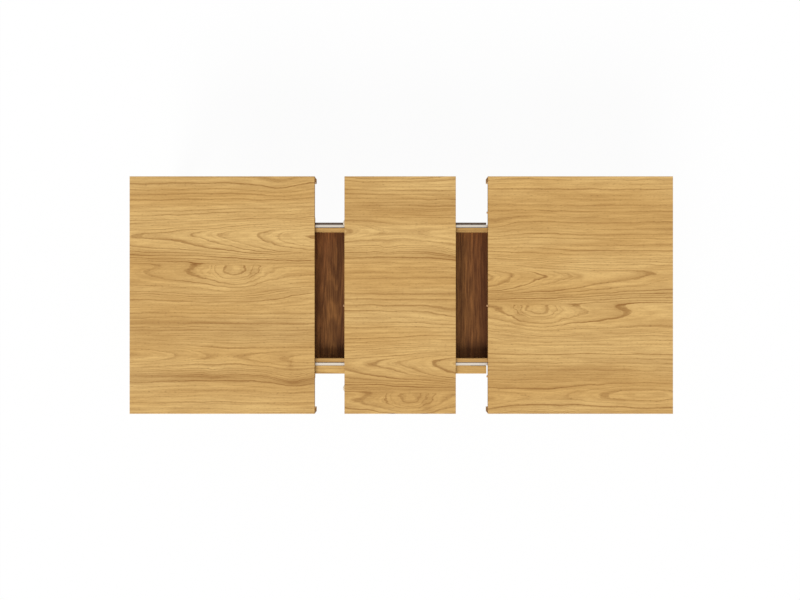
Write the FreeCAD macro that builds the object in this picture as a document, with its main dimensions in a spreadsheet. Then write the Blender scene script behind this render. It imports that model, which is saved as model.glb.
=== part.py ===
"""Split-top extension table with a loose centre leaf, drawn apart on telescopic slides.

Frame: millimetres, +X along the table to the right half, +Y to the far (north) long side, +Z up.
The origin is on the floor, under the middle of the table. The table stands as it is photographed:
both halves are drawn out and the leaf lies on the tray sides with a gap at each end.
"""
import FreeCAD, Part
import math
import os
import re

import Sketcher

Vector = FreeCAD.Vector

# Driving dimensions: alias, value and meaning.
DIMENSIONS = (
    ("table_height", 750.0, "floor to the upper face of the tops"),
    ("table_depth", 900.0, "across the table"),
    ("half_length", 701.0, "each half top, along the table"),
    ("opening", 328.5, "middle of the table to each half top's inner edge"),
    ("leaf_width", 422.0, "leaf, along the table"),
    ("leaf_shift", 4.4, "leaf's centre, left of the middle"),
    ("top_thick", 22.0, "half tops"),
    ("edge_round", 1.2, "upper edges of the tops"),
    ("meet_gap", 0.3, "joint between a closed half and the leaf"),
    ("rail_clear", 0.4, "tray sides below the half tops"),
    ("apron_thick", 18.0, "aprons"),
    ("apron_height", 88.0, "aprons"),
    ("leg_width", 60.0, "square legs"),
    ("leg_chamfer", 14.0, "flat on each leg's inner corner"),
    ("leg_round", 2.0, "outer long edges of the legs"),
    ("glide_height", 6.0, "glide between leg and floor"),
    ("glide_radius", 17.0, "glide"),
    ("stem_radius", 4.0, "stem of a glide"),
    ("stem_length", 14.0, "stem of a glide, up into the leg"),
    ("tray_half_width", 241.0, "middle to the inside of a tray side"),
    ("tray_half_length", 460.0, "middle to the inside of a tray end"),
    ("side_thick", 15.0, "tray sides and ends"),
    ("side_height", 75.0, "tray sides"),
    ("side_half_length", 640.0, "middle to the end of a tray side"),
    ("end_height", 46.0, "tray ends, above the floor"),
    ("floor_thick", 9.0, "tray floor"),
    ("floor_raise", 8.0, "floor's underside above the sides' lower edges"),
    ("groove_depth", 6.0, "floor let into each side"),
    ("batten_width", 40.0, "battens under the floor"),
    ("batten_place", 200.0, "middle to the centre of a batten"),
    ("slide_start", 170.0, "middle to the inner end of a fixed slide member"),
    ("slide_length", 450.0, "each slide member"),
    ("slide_height", 45.0, "fixed slide member"),
    ("packer_thick", 2.0, "packers between a tray side and its slides"),
    ("packer_height", 25.0, "packers"),
    ("slide_width", 10.2, "packer to the bearer, the slide's own thickness"),
    ("slide_sheet", 1.2, "steel of the slide members"),
    ("slide_drop", 1.0, "slide below the tray side's upper edge"),
    ("slide_play", 0.5, "free edge of the fixed member to the bearer"),
    ("race_gap", 4.3, "ball race between two slide members"),
    ("ball_play", 0.15, "ball to each of its races"),
    ("ball_pitch", 24.0, "ball to ball in a cage"),
    ("inner_race_place", 7.5, "packer to the middle of the inner ball races"),
    ("cage_length", 120.0, "ball cages"),
    ("cage_width", 4.4, "ball cages"),
    ("cage_sheet", 0.6, "ball cages"),
    ("tab_reach", 24.0, "end tab of an inner member, towards the middle"),
    ("hole_play", 0.2, "screw hole larger than its screw"),
    ("bearer_height", 56.0, "bearers and cross beams"),
    ("south_thick", 31.0, "oak bearer on the south side"),
    ("north_thick", 8.0, "steel bearer on the north side"),
    ("bearer_drop", 0.7, "bearers below the half tops"),
    ("bearer_end", 4.6, "bearer's free end short of the right half"),
    ("relief_depth", 1.0, "bearer's free end, thinner where it passes the right half's slides"),
    ("relief_length", 60.0, "bearer's thinner end"),
    ("cheek_end", 3.0, "cheeks short of the left half's inner edge"),
    ("cheek_width", 20.0, "cheek beside the south bearer"),
    ("cheek_bite", 5.5, "cheek screw's hold in a bearer"),
    ("beam_thick", 30.0, "cross beams"),
    ("beam_half_length", 305.0, "middle to the end of a cross beam"),
    ("block_thick", 25.0, "corner blocks"),
    ("block_height", 73.0, "corner blocks"),
    ("block_clear", 2.0, "corner block to the leg's corner, along X or Y"),
    ("bolt_radius", 4.0, "hanger bolts"),
    ("bolt_clear", 0.5, "corner block's hole larger than its bolt"),
    ("bolt_in_leg", 35.0, "hanger bolt, from the leg's inner corner inwards"),
    ("bolt_tail", 20.0, "hanger bolt, past the corner block"),
    ("bolt_drop", 40.0, "hanger bolts below the underside of the tops"),
    ("washer_radius", 11.0, "washers of the hanger bolts"),
    ("washer_thick", 2.0, "washers of the hanger bolts"),
    ("nut_radius", 7.5, "nuts, across the corners, halved"),
    ("nut_height", 8.0, "nuts"),
    ("cleat_width", 20.0, "square cleats along the aprons"),
    ("cleat_end", 12.0, "cleat short of the corner block and the inner edge"),
    ("tongue_radius", 18.1, "half-round tongues of the leaf"),
    ("tongue_proud", 5.5, "tongues, out of the leaf's edge"),
    ("tongue_thick", 8.0, "tongues"),
    ("tongue_north", 273.5, "far tongue, from the middle"),
    ("tongue_south", 353.5, "near tongue, from the middle"),
    ("pin_radius", 4.0, "locating pins"),
    ("pin_proud", 5.0, "locating pins, out of the edge"),
    ("pin_length", 25.0, "locating pins"),
    ("pin_middle", 40.0, "middle pins, south of the middle"),
    ("pin_north", 313.0, "far pin of the right half, from the middle"),
    ("pin_south", 309.0, "near pin of the right half, from the middle"),
    ("socket_clear", 0.8, "sockets larger than what they take"),
    ("seat_clear", 0.1, "seats of fixed pins, bolts and tongues"),
    ("seat_spare", 1.0, "blind seats deeper than what they take"),
    ("screw_radius", 2.2, "shanks of the wood screws"),
    ("screw_head", 4.4, "heads of the wood screws"),
    ("screw_bite", 13.0, "screw's hold in the second piece"),
    ("small_screw_radius", 2.0, "shanks of the slide screws"),
    ("small_screw_head", 3.8, "heads of the slide screws"),
    ("small_head_rise", 1.8, "heads of the slide screws"),
    ("small_screw_bite", 7.0, "slide screw's hold in wood or steel"),
)

# Where screws stand: shares of the length that they hold.
SLIDE_SCREW_SHARES = (0.06, 0.5, 0.94)
END_SCREW_SHARES = (0.25, 0.75)
TOP_SCREW_SHARES = (0.1, 0.45, 0.8)
CHEEK_SCREW_SHARES = (0.2, 0.55, 0.85)
BEAM_SCREW_SHARES = (-0.6, 0.6)
TAB_SCREW_SHARE = 0.75
PAN_HEAD_FLAT = 0.7
BALL_STEPS = (-2, -1, 0, 1, 2)
NUT_SIDES = 6

HALVES = (("left", -1), ("right", 1))
SIDES = (("north", 1), ("south", -1))
CORNER = {("left", 1): "nw", ("left", -1): "sw", ("right", 1): "ne", ("right", -1): "se"}

# Heights, as formulas.
TOP_UNDER = "(table_height - top_thick)"
RAIL_TOP = f"({TOP_UNDER} - rail_clear)"
SIDE_FOOT = f"({RAIL_TOP} - side_height)"
FLOOR_TOP = f"({SIDE_FOOT} + floor_raise + floor_thick)"
SLIDE_MIDDLE = f"({RAIL_TOP} - slide_drop - slide_height / 2)"
JOINT_MIDDLE = f"({TOP_UNDER} + top_thick / 2)"
BEARER_FOOT = f"({TOP_UNDER} - bearer_height)"

# Distances from the middle of the table, as formulas.
OUTER_END = "(opening + half_length)"
APRON_INSIDE_X = f"({OUTER_END} - apron_thick)"
APRON_INSIDE_Y = "(table_depth / 2 - apron_thick)"
LEG_INSIDE_X = f"({OUTER_END} - leg_width)"
LEG_INSIDE_Y = "(table_depth / 2 - leg_width)"
BEAM_INSIDE = f"({APRON_INSIDE_X} - beam_thick)"
SIDE_FACE = "(tray_half_width + side_thick)"
SLIDE_FACE = f"({SIDE_FACE} + packer_thick)"
BEARER_FACE = f"({SLIDE_FACE} + slide_width)"
INNER_START = f"({BEAM_INSIDE} - slide_length)"
MIDDLE_START = f"((slide_start + {INNER_START}) / 2)"
BLOCK_LINE = f"({LEG_INSIDE_X} + {LEG_INSIDE_Y} - block_clear)"
BLOCK_BACK = f"({BLOCK_LINE} - block_thick * sqrt(2))"
LEAF_LEFT = "(-leaf_width / 2 - leaf_shift)"
LEAF_RIGHT = "(leaf_width / 2 - leaf_shift)"

document = FreeCAD.newDocument("extension_table")
sheet = document.addObject("Spreadsheet::Sheet", "dims")
nodes = []


def fill_sheet():
    """Write the driving dimensions to the sheet, one row each."""
    for row, (alias, value, meaning) in enumerate(DIMENSIONS, 1):
        sheet.set(f"A{row}", meaning)
        sheet.set(f"B{row}", str(value))
        sheet.setAlias(f"B{row}", alias)
    document.recompute()


def size(formula):
    """The value of a formula of the sheet's aliases."""
    return float(sheet.evalExpression(formula))


ALIASES = {row[0] for row in DIMENSIONS}
WORD = re.compile(r"[a-z_]+")


def bind(thing, prop, formula):
    """Tie a property to a formula of the sheet's aliases."""
    def full_name(match):
        return f"dims.{match.group()}" if match.group() in ALIASES else match.group()
    thing.setExpression(prop, WORD.sub(full_name, str(formula)))


def node(label, thing):
    """Name a finished piece and list it for writing."""
    thing.Label = label
    nodes.append(thing)
    return thing


def towards(sign, near, far):
    """Low and high limits of what lies from near to far on one side of the middle."""
    return (near, far) if sign > 0 else (f"-({far})", f"-({near})")


def about(centre, width):
    """Low and high limits of what is centred on a place."""
    return f"{centre} - ({width}) / 2", f"{centre} + ({width}) / 2"


def set_box(box, x, y, z):
    """Give a box its limits along each axis."""
    for prop, axis, (low, high) in (("Length", "x", x), ("Width", "y", y), ("Height", "z", z)):
        bind(box, prop, f"({high}) - ({low})")
        bind(box, f"Placement.Base.{axis}", low)
    return box


def board(name, x, y, z):
    """A plain board between limits."""
    return set_box(document.addObject("Part::Box", name), x, y, z)


def set_cylinder(cylinder, radius, length, start, direction=Vector(0, 0, 1)):
    """Give a cylinder its radius, length, the centre of its first end and its direction."""
    cylinder.Placement.Rotation = FreeCAD.Rotation(Vector(0, 0, 1), direction)
    bind(cylinder, "Radius", radius)
    bind(cylinder, "Height", length)
    for axis, place in zip("xyz", start):
        bind(cylinder, f"Placement.Base.{axis}", place)
    return cylinder


def rod(name, radius, length, start, direction=Vector(0, 0, 1)):
    """A round bar."""
    bar = document.addObject("Part::Cylinder", name)
    return set_cylinder(bar, radius, length, start, direction)


def bore(body, name, radius, length, start, direction=Vector(0, 0, 1)):
    """A round hole in a body."""
    hole = body.newObject("PartDesign::SubtractiveCylinder", name)
    return set_cylinder(hole, radius, length, start, direction)


def group(name, pieces):
    """Separate solids that share one node."""
    together = document.addObject("Part::Compound", name)
    together.Links = pieces
    return together


def prism(name, plane_role, outline, level, length):
    """A body with one closed outline on an origin plane, padded along the plane's normal."""
    body = document.addObject("PartDesign::Body", name)
    sketch = body.newObject("Sketcher::SketchObject", f"{name}_outline")
    plane = next(item for item in body.Origin.OriginFeatures if item.Role == plane_role)
    sketch.AttachmentSupport = [(plane, "")]
    sketch.MapMode = "FlatFace"
    bind(sketch, "AttachmentOffset.Base.z", level)
    count = len(outline)
    seeds = [Vector(math.cos(math.tau * i / count), math.sin(math.tau * i / count), 0) for i in range(count)]
    for i in range(count):
        sketch.addGeometry(Part.LineSegment(seeds[i], seeds[(i + 1) % count]))
    for i in range(count):
        sketch.addConstraint(Sketcher.Constraint("Coincident", i, 2, (i + 1) % count, 1))
    for i, (across, up) in enumerate(outline):
        for kind, seed, formula in (("DistanceX", seeds[i].x, across), ("DistanceY", seeds[i].y, up)):
            index = sketch.addConstraint(Sketcher.Constraint(kind, -1, 1, i, 1, seed))
            bind(sketch, f"Constraints[{index}]", formula)
    pad = body.newObject("PartDesign::Pad", f"{name}_pad")
    pad.Profile = sketch
    bind(pad, "Length", length)
    document.recompute()
    return body


def round_edges(body, name, radius, chosen):
    """Round the body's edges that a test picks."""
    base = body.Tip
    edges = [f"Edge{i}" for i, edge in enumerate(base.Shape.Edges, 1) if chosen(edge)]
    rounding = body.newObject("PartDesign::Fillet", name)
    rounding.Base = (base, edges)
    bind(rounding, "Radius", radius)
    document.recompute()


def rectangle(x, y):
    """The corners of a rectangle between limits."""
    return [(x[0], y[0]), (x[1], y[0]), (x[1], y[1]), (x[0], y[1])]


def panel(name, x, low, high):
    """A table top across the whole depth, its upper edges eased."""
    y = ("-table_depth / 2", "table_depth / 2")
    body = prism(name, "XY_Plane", rectangle(x, y), low, f"({high}) - ({low})")
    level = size("table_height") - size("edge_round") / 2
    round_edges(body, f"{name}_ease", "edge_round", lambda edge: edge.BoundBox.ZMin > level)
    return body


def countersunk_screw(length):
    """A wood screw along +Z, its head's flat face at the origin."""
    shank, head = size("screw_radius"), size("screw_head")
    point = length - 2 * shank
    return turned([(0, 0), (head, 0), (shank, head - shank), (shank, point), (0, length)])


def pan_head_screw(length):
    """A slide screw along +Z, the underside of its head at the origin."""
    shank, head, rise = size("small_screw_radius"), size("small_screw_head"), size("small_head_rise")
    return turned([(0, -rise), (head * PAN_HEAD_FLAT, -rise), (head, -rise / 2), (head, 0), (shank, 0),
                   (shank, length), (0, length)])


def turned(profile):
    """A solid of revolution about Z, from radius and height pairs."""
    points = [Vector(radius, 0, height) for radius, height in profile]
    face = Part.Face(Part.makePolygon(points + points[:1]))
    return face.revolve(Vector(), Vector(0, 0, 1), 360)


def screw_group(label, screws):
    """One node of screws, each given as its shape, its start and its direction."""
    placed = []
    for shape, start, direction in screws:
        turn = FreeCAD.Rotation(Vector(0, 0, 1), direction)
        copy = shape.copy()
        copy.Placement = FreeCAD.Placement(start, turn)
        placed.append(copy)
    feature = document.addObject("Part::Feature", label)
    feature.Shape = Part.makeCompound(placed)
    return node(label, feature)


def make_tray():
    """The storage tray between the slides: sides, floor, ends, battens and the slides' packers."""
    for side, sy in SIDES:
        x = ("-side_half_length", "side_half_length")
        y = towards(sy, "tray_half_width", SIDE_FACE)
        body = prism(f"side_{side}", "XY_Plane", rectangle(x, y), SIDE_FOOT, "side_height")
        groove = body.newObject("PartDesign::SubtractiveBox", f"groove_{side}")
        set_box(groove, ("-tray_half_length - side_thick", "tray_half_length + side_thick"),
                towards(sy, "tray_half_width", "tray_half_width + groove_depth"),
                (f"{FLOOR_TOP} - floor_thick", FLOOR_TOP))
        node(f"tray_side_{side}", body)
    reach = "tray_half_width + groove_depth"
    node("tray_floor", board("floor", ("-tray_half_length - side_thick", "tray_half_length + side_thick"),
                             (f"-({reach})", reach), (f"{FLOOR_TOP} - floor_thick", FLOOR_TOP)))
    across = ("-tray_half_width", "tray_half_width")
    ends, battens, packers = [], [], []
    for half, sx in HALVES:
        end_x = towards(sx, "tray_half_length", "tray_half_length + side_thick")
        ends.append(board(f"end_{half}", end_x, across, (FLOOR_TOP, f"{FLOOR_TOP} + end_height")))
        batten_x = about(f"{sx} * batten_place", "batten_width")
        battens.append(board(f"batten_{half}", batten_x, across, (SIDE_FOOT, f"{SIDE_FOOT} + floor_raise")))
        packer_x = towards(sx, "slide_start", "slide_start + slide_length")
        for side, sy in SIDES:
            packers.append(board(f"packer_{half}_{side}", packer_x, towards(sy, SIDE_FACE, SLIDE_FACE),
                                 about(SLIDE_MIDDLE, "packer_height")))
    node("tray_ends", group("ends", ends))
    node("tray_battens", group("battens", battens))
    node("tray_packers", group("packers", packers))


def tray_screw_group():
    """Screws through the tray sides into the ends."""
    screw = countersunk_screw(size("side_thick + 2 * screw_bite"))
    face, middle = size(SIDE_FACE), size("tray_half_length + side_thick / 2")
    screws = []
    for _, sx in HALVES:
        for _, sy in SIDES:
            for share in END_SCREW_SHARES:
                height = size(f"{FLOOR_TOP} + {share} * end_height")
                screws.append((screw, Vector(sx * middle, sy * face, height), Vector(0, -sy, 0)))
    screw_group("tray_joint_screws", screws)


def member(name, sx, outline, start, sy):
    """A slide member: an outline in distance from the packer and from the slide's middle height."""
    points = [(f"{sy} * ({SLIDE_FACE} + {out})", f"{SLIDE_MIDDLE} + {up}") for out, up in outline]
    level = start if sx > 0 else f"-({start}) - slide_length"
    return prism(name, "YZ_Plane", points, level, "slide_length")


FIXED_EDGE = "slide_width - slide_play"
FIXED_RACE = "slide_height / 2 - slide_sheet"
MIDDLE_TOP = f"({FIXED_RACE} - race_gap)"
MIDDLE_RACE = f"({MIDDLE_TOP} - slide_sheet)"
INNER_TOP = f"({MIDDLE_RACE} - race_gap)"
LIP_FOOT = f"{FIXED_RACE} - 2 * slide_sheet"
LIP_BACK = f"{FIXED_EDGE} - slide_sheet"
HOLE_LENGTH = "3 * slide_sheet"
TAB_SCREW_LINE = f"({BEARER_FACE} - {TAB_SCREW_SHARE} * tab_reach)"


def mirrored(upper):
    """An outline from its upper half, which starts at the back and ends at the front."""
    return upper + [(out, f"-({up})") for out, up in reversed(upper)]


def fixed_outline():
    """An open channel with lips, its back on the packer."""
    return mirrored([("0", "slide_height / 2"), (FIXED_EDGE, "slide_height / 2"), (FIXED_EDGE, LIP_FOOT),
                     (LIP_BACK, LIP_FOOT), (LIP_BACK, FIXED_RACE), ("slide_sheet", FIXED_RACE)])


def middle_outline():
    """A web with a flange across each end, running inside the fixed member."""
    back, front = "2 * slide_sheet", "slide_width - 2 * slide_sheet"
    web = "slide_width / 2 - slide_sheet"
    upper = [(back, MIDDLE_RACE), (back, MIDDLE_TOP), (front, MIDDLE_TOP), (front, MIDDLE_RACE),
             (f"{web} + slide_sheet", MIDDLE_RACE)]
    lower = [(out, f"-({up})") for out, up in reversed(upper)]
    return [(web, MIDDLE_RACE)] + upper + lower + [(web, f"-{MIDDLE_RACE}")]


def inner_outline():
    """An open channel that faces the tray, its back on the bearer's line."""
    flange = "slide_width / 2 + slide_sheet / 2"
    return mirrored([("slide_width", INNER_TOP), (flange, INNER_TOP), (flange, f"{INNER_TOP} - slide_sheet"),
                     ("slide_width - slide_sheet", f"{INNER_TOP} - slide_sheet")])


def web_holes(body, name, sx, sy, start, out):
    """Three screw holes through a slide member's web."""
    for i, share in enumerate(SLIDE_SCREW_SHARES):
        place = f"{sx} * ({start} + {share} * slide_length)"
        bore(body, f"{name}_hole_{i}", "small_screw_radius + hole_play", HOLE_LENGTH,
             (place, f"{sy} * ({SLIDE_FACE} + {out} - slide_sheet)", SLIDE_MIDDLE), Vector(0, sy, 0))


def make_slides():
    """Four telescopic slides, each with a fixed, a middle and an inner member."""
    for half, sx in HALVES:
        for side, sy in SIDES:
            corner = CORNER[half, sy]
            fixed = member(f"fixed_{corner}", sx, fixed_outline(), "slide_start", sy)
            web_holes(fixed, f"fixed_{corner}", sx, sy, "slide_start", "0")
            node(f"slide_fixed_{corner}", fixed)
            middle = member(f"middle_{corner}", sx, middle_outline(), MIDDLE_START, sy)
            node(f"slide_middle_{corner}", middle)
            inner = member(f"inner_{corner}", sx, inner_outline(), INNER_START, sy)
            tab = inner.newObject("PartDesign::AdditiveBox", f"tab_{corner}")
            set_box(tab, towards(sx, f"{BEAM_INSIDE} - slide_sheet", BEAM_INSIDE),
                    towards(sy, f"{BEARER_FACE} - tab_reach", BEARER_FACE),
                    about(SLIDE_MIDDLE, f"2 * {INNER_TOP}"))
            bore(inner, f"tab_hole_{corner}", "small_screw_radius + hole_play", HOLE_LENGTH,
                 (f"{sx} * ({BEAM_INSIDE} - 2 * slide_sheet)", f"{sy} * {TAB_SCREW_LINE}", SLIDE_MIDDLE),
                 Vector(sx, 0, 0))
            if half == "left":
                web_holes(inner, f"inner_{corner}", sx, sy, INNER_START, "slide_width - slide_sheet")
            node(f"slide_inner_{corner}", inner)


def ball_cage(name, sx, sy, middle, out, up):
    """A cage strip with its balls, centred along the slide where two members overlap."""
    cage = document.addObject("PartDesign::Body", name)
    strip = cage.newObject("PartDesign::AdditiveBox", f"{name}_strip")
    line, height = f"{sy} * ({SLIDE_FACE} + {out})", f"{SLIDE_MIDDLE} + {up}"
    set_box(strip, about(f"{sx} * {middle}", "cage_length"), about(line, "cage_width"),
            about(height, "cage_sheet"))
    for step in BALL_STEPS:
        ball = cage.newObject("PartDesign::AdditiveSphere", f"{name}_ball")
        bind(ball, "Radius", "race_gap / 2 - ball_play")
        for axis, place in zip("xyz", (f"{sx} * {middle} + {step} * ball_pitch", line, height)):
            bind(ball, f"Placement.Base.{axis}", place)
    return cage


def make_ball_cages():
    """Cages in the upper and lower races, the outer ones at the fixed members and the inner ones within."""
    outer_middle = f"(({MIDDLE_START} + slide_start + slide_length) / 2)"
    inner_middle = f"(({INNER_START} + {MIDDLE_START} + slide_length) / 2)"
    outer_race = f"({MIDDLE_TOP} + race_gap / 2)"
    inner_race = f"({INNER_TOP} + race_gap / 2)"
    races = (("outer", outer_middle, "slide_width / 2", outer_race),
             ("inner", inner_middle, "inner_race_place", inner_race))
    for half, sx in HALVES:
        for kind, middle, out, race in races:
            cages = [ball_cage(f"cage_{half}_{kind}_{side}_{level}", sx, sy, middle, out, f"{up} * {race}")
                     for side, sy in SIDES for level, up in (("upper", 1), ("lower", -1))]
            node(f"{half}_{kind}_ball_cages", group(f"{half}_{kind}_cage_group", cages))


def slide_screw_groups():
    """Screws of the fixed members, of the end tabs and of the left half's inner members."""
    screw = pan_head_screw(size("slide_sheet + small_screw_bite"))
    fixed_screw = pan_head_screw(size("slide_sheet + packer_thick + small_screw_bite"))
    fixed_web, inner_web = size(f"{SLIDE_FACE} + slide_sheet"), size(f"{BEARER_FACE} - slide_sheet")
    beam, tab_line, middle = size(f"{BEAM_INSIDE} - slide_sheet"), size(TAB_SCREW_LINE), size(SLIDE_MIDDLE)
    fixed_screws = []
    for half, sx in HALVES:
        half_screws = []
        for _, sy in SIDES:
            half_screws.append((screw, Vector(sx * beam, sy * tab_line, middle), Vector(sx, 0, 0)))
            for share in SLIDE_SCREW_SHARES:
                x = sx * size(f"slide_start + {share} * slide_length")
                fixed_screws.append((fixed_screw, Vector(x, sy * fixed_web, middle), Vector(0, -sy, 0)))
                if half == "left":
                    x = sx * size(f"{INNER_START} + {share} * slide_length")
                    half_screws.append((screw, Vector(x, sy * inner_web, middle), Vector(0, sy, 0)))
        screw_group(f"{half}_slide_screws", half_screws)
    screw_group("slide_fixed_screws", fixed_screws)


CHEEK_FACE = {"north": f"{BEARER_FACE} + north_thick", "south": f"{BEARER_FACE} + south_thick"}
CHEEK_BACK = {"north": f"{BEARER_FACE} + south_thick", "south": f"{BEARER_FACE} + south_thick + cheek_width"}


def bearer_outline(sy, back):
    """A bearer from above, its free end thinner so that it clears the right half's slide member."""
    start, end = f"-{BEAM_INSIDE}", "opening - bearer_end"
    step, thinner = f"{end} - relief_length", f"{BEARER_FACE} + relief_depth"
    corners = [(start, BEARER_FACE), (step, BEARER_FACE), (step, thinner), (end, thinner), (end, back),
               (start, back)]
    return [(x, f"{sy} * ({y})") for x, y in corners]


def make_bearers():
    """The left half's two bearers, which pass under the leaf, and the cheeks that hold them to its top."""
    cheek_x = (f"-{BEAM_INSIDE}", "-opening - cheek_end")
    cheeks = []
    for side, sy in SIDES:
        bearer = prism(f"bearer_{side}", "XY_Plane", bearer_outline(sy, CHEEK_FACE[side]), BEARER_FOOT,
                       "bearer_height - bearer_drop")
        node(f"loper_{side}", bearer)
        cheek_y = towards(sy, CHEEK_FACE[side], CHEEK_BACK[side])
        cheeks.append(board(f"cheek_{side}", cheek_x, cheek_y, (BEARER_FOOT, TOP_UNDER)))
    node("loper_cheeks", group("cheeks", cheeks))


def make_leg(half, sx, side, sy):
    """A square leg with a flat on its inner corner for the hanger bolt and a seat for the glide's stem."""
    near_x, far_x = f"{sx} * {LEG_INSIDE_X}", f"{sx} * {OUTER_END}"
    near_y, far_y = f"{sy} * {LEG_INSIDE_Y}", f"{sy} * (table_depth / 2)"
    outline = [(far_x, far_y), (near_x, far_y), (near_x, f"{sy} * ({LEG_INSIDE_Y} + leg_chamfer)"),
               (f"{sx} * ({LEG_INSIDE_X} + leg_chamfer)", near_y), (far_x, near_y)]
    name = f"leg_{half}_{side}"
    body = prism(name, "XY_Plane", outline, "glide_height", f"{TOP_UNDER} - glide_height")
    corner_x = sx * (size("opening") + size("half_length"))
    corner_y = sy * size("table_depth") / 2

    def is_outer_long_edge(edge):
        box = edge.BoundBox
        upright = box.ZLength > box.XLength + box.YLength
        return upright and math.hypot(box.XMin - corner_x, box.YMin - corner_y) < size("leg_width") / 2

    round_edges(body, f"{name}_round", "leg_round", is_outer_long_edge)
    bore(body, f"{name}_bolt", "bolt_radius + seat_clear", "bolt_in_leg + seat_spare",
         bolt_point(sx, sy, "bolt_in_leg + seat_spare"), inward(sx, sy))
    bore(body, f"{name}_stem", "stem_radius + seat_clear", "stem_length + seat_spare",
         leg_centre(sx, sy, "glide_height"))
    node(f"{half}_leg_{side}", body)


def leg_centre(sx, sy, level):
    """The middle of a leg's section at a height."""
    return (f"{sx} * ({LEG_INSIDE_X} + leg_width / 2)", f"{sy} * ({LEG_INSIDE_Y} + leg_width / 2)", level)


def bolt_point(sx, sy, depth):
    """A point on a hanger bolt's axis, so deep behind the leg's inner corner."""
    step = f"({depth}) / sqrt(2)"
    x, y = f"{sx} * ({LEG_INSIDE_X} + {step})", f"{sy} * ({LEG_INSIDE_Y} + {step})"
    return x, y, f"{TOP_UNDER} - bolt_drop"


def inward(sx, sy):
    """The level diagonal from a leg to the middle of its half."""
    return Vector(-sx, -sy, 0)


BLOCK_FACE_DEPTH = "-(block_clear / sqrt(2) + block_thick)"
THROUGH_START = "2 * block_thick"
THROUGH_LENGTH = "4 * block_thick"


def make_corner(half, sx, side, sy):
    """A corner block with its hanger bolt, washer and nut."""
    name = f"{half}_{side}"
    outline = [(APRON_INSIDE_X, f"{BLOCK_LINE} - {APRON_INSIDE_X}"),
               (f"{BLOCK_LINE} - {APRON_INSIDE_Y}", APRON_INSIDE_Y),
               (f"{BLOCK_BACK} - {APRON_INSIDE_Y}", APRON_INSIDE_Y),
               (APRON_INSIDE_X, f"{BLOCK_BACK} - {APRON_INSIDE_X}")]
    points = [(f"{sx} * ({x})", f"{sy} * ({y})") for x, y in outline]
    block = prism(f"block_{name}", "XY_Plane", points, f"{TOP_UNDER} - block_height", "block_height")
    way = inward(sx, sy)
    bore(block, f"block_{name}_hole", "bolt_radius + bolt_clear", THROUGH_LENGTH,
         bolt_point(sx, sy, THROUGH_START), way)
    bolt = rod(f"bolt_{name}", "bolt_radius", f"bolt_in_leg - ({BLOCK_FACE_DEPTH}) + bolt_tail",
               bolt_point(sx, sy, "bolt_in_leg"), way)
    washer = ring(f"washer_{name}", rod(f"washer_{name}_disc", "washer_radius", "washer_thick",
                                        bolt_point(sx, sy, BLOCK_FACE_DEPTH), way), sx, sy)
    hexagon = document.addObject("Part::Prism", f"nut_{name}_hexagon")
    hexagon.Polygon = NUT_SIDES
    hexagon.Placement.Rotation = FreeCAD.Rotation(Vector(0, 0, 1), way)
    bind(hexagon, "Circumradius", "nut_radius")
    bind(hexagon, "Height", "nut_height")
    for axis, place in zip("xyz", bolt_point(sx, sy, f"{BLOCK_FACE_DEPTH} - washer_thick")):
        bind(hexagon, f"Placement.Base.{axis}", place)
    nut = ring(f"nut_{name}", hexagon, sx, sy)
    return block, bolt, washer, nut


def ring(name, solid, sx, sy):
    """A washer or nut: a solid with the hanger bolt's hole through it."""
    hole = rod(f"{name}_hole", "bolt_radius + seat_clear", THROUGH_LENGTH,
               bolt_point(sx, sy, THROUGH_START), inward(sx, sy))
    cut = document.addObject("Part::Cut", name)
    cut.Base = solid
    cut.Tool = hole
    return cut


def make_glide(half, sx, side, sy):
    """A round glide with a stem that seats in the leg."""
    name = f"glide_{half}_{side}"
    foot = rod(f"{name}_foot", "glide_radius", "glide_height", leg_centre(sx, sy, "0"))
    stem = rod(f"{name}_stem", "stem_radius", "stem_length", leg_centre(sx, sy, "glide_height"))
    glide = document.addObject("Part::Fuse", name)
    glide.Base = foot
    glide.Tool = stem
    return glide


CLEAT_X = ("opening + cleat_end", f"{BLOCK_BACK} - {APRON_INSIDE_Y} - cleat_end")


def make_half(half, sx):
    """One half of the table: aprons, legs, corner blocks, glides, cleats and cross beam."""
    apron_z = (f"{TOP_UNDER} - apron_height", TOP_UNDER)
    corners, glides, cleats = [], [], []
    for side, sy in SIDES:
        apron_y = towards(sy, APRON_INSIDE_Y, "table_depth / 2")
        apron = board(f"apron_{half}_{side}", towards(sx, "opening", LEG_INSIDE_X), apron_y, apron_z)
        node(f"{half}_apron_{side}", apron)
        make_leg(half, sx, side, sy)
        corners.append(make_corner(half, sx, side, sy))
        glides.append(make_glide(half, sx, side, sy))
        cleat_y = towards(sy, f"{APRON_INSIDE_Y} - cleat_width", APRON_INSIDE_Y)
        cleats.append(board(f"cleat_{half}_{side}", towards(sx, *CLEAT_X), cleat_y,
                            (f"{TOP_UNDER} - cleat_width", TOP_UNDER)))
    node(f"{half}_apron_end", board(f"apron_{half}_end", towards(sx, APRON_INSIDE_X, OUTER_END),
                                    (f"-{LEG_INSIDE_Y}", LEG_INSIDE_Y), apron_z))
    for label, pieces in zip(("corner_blocks", "leg_bolts", "leg_washers", "leg_nuts"), zip(*corners)):
        node(f"{half}_{label}", group(f"{half}_{label}_group", list(pieces)))
    node(f"{half}_glides", group(f"{half}_glide_group", glides))
    node(f"{half}_cleats", group(f"{half}_cleat_group", cleats))
    node(f"{half}_cross_beam", board(f"beam_{half}", towards(sx, BEAM_INSIDE, APRON_INSIDE_X),
                                     ("-beam_half_length", "beam_half_length"), (BEARER_FOOT, TOP_UNDER)))


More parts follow.
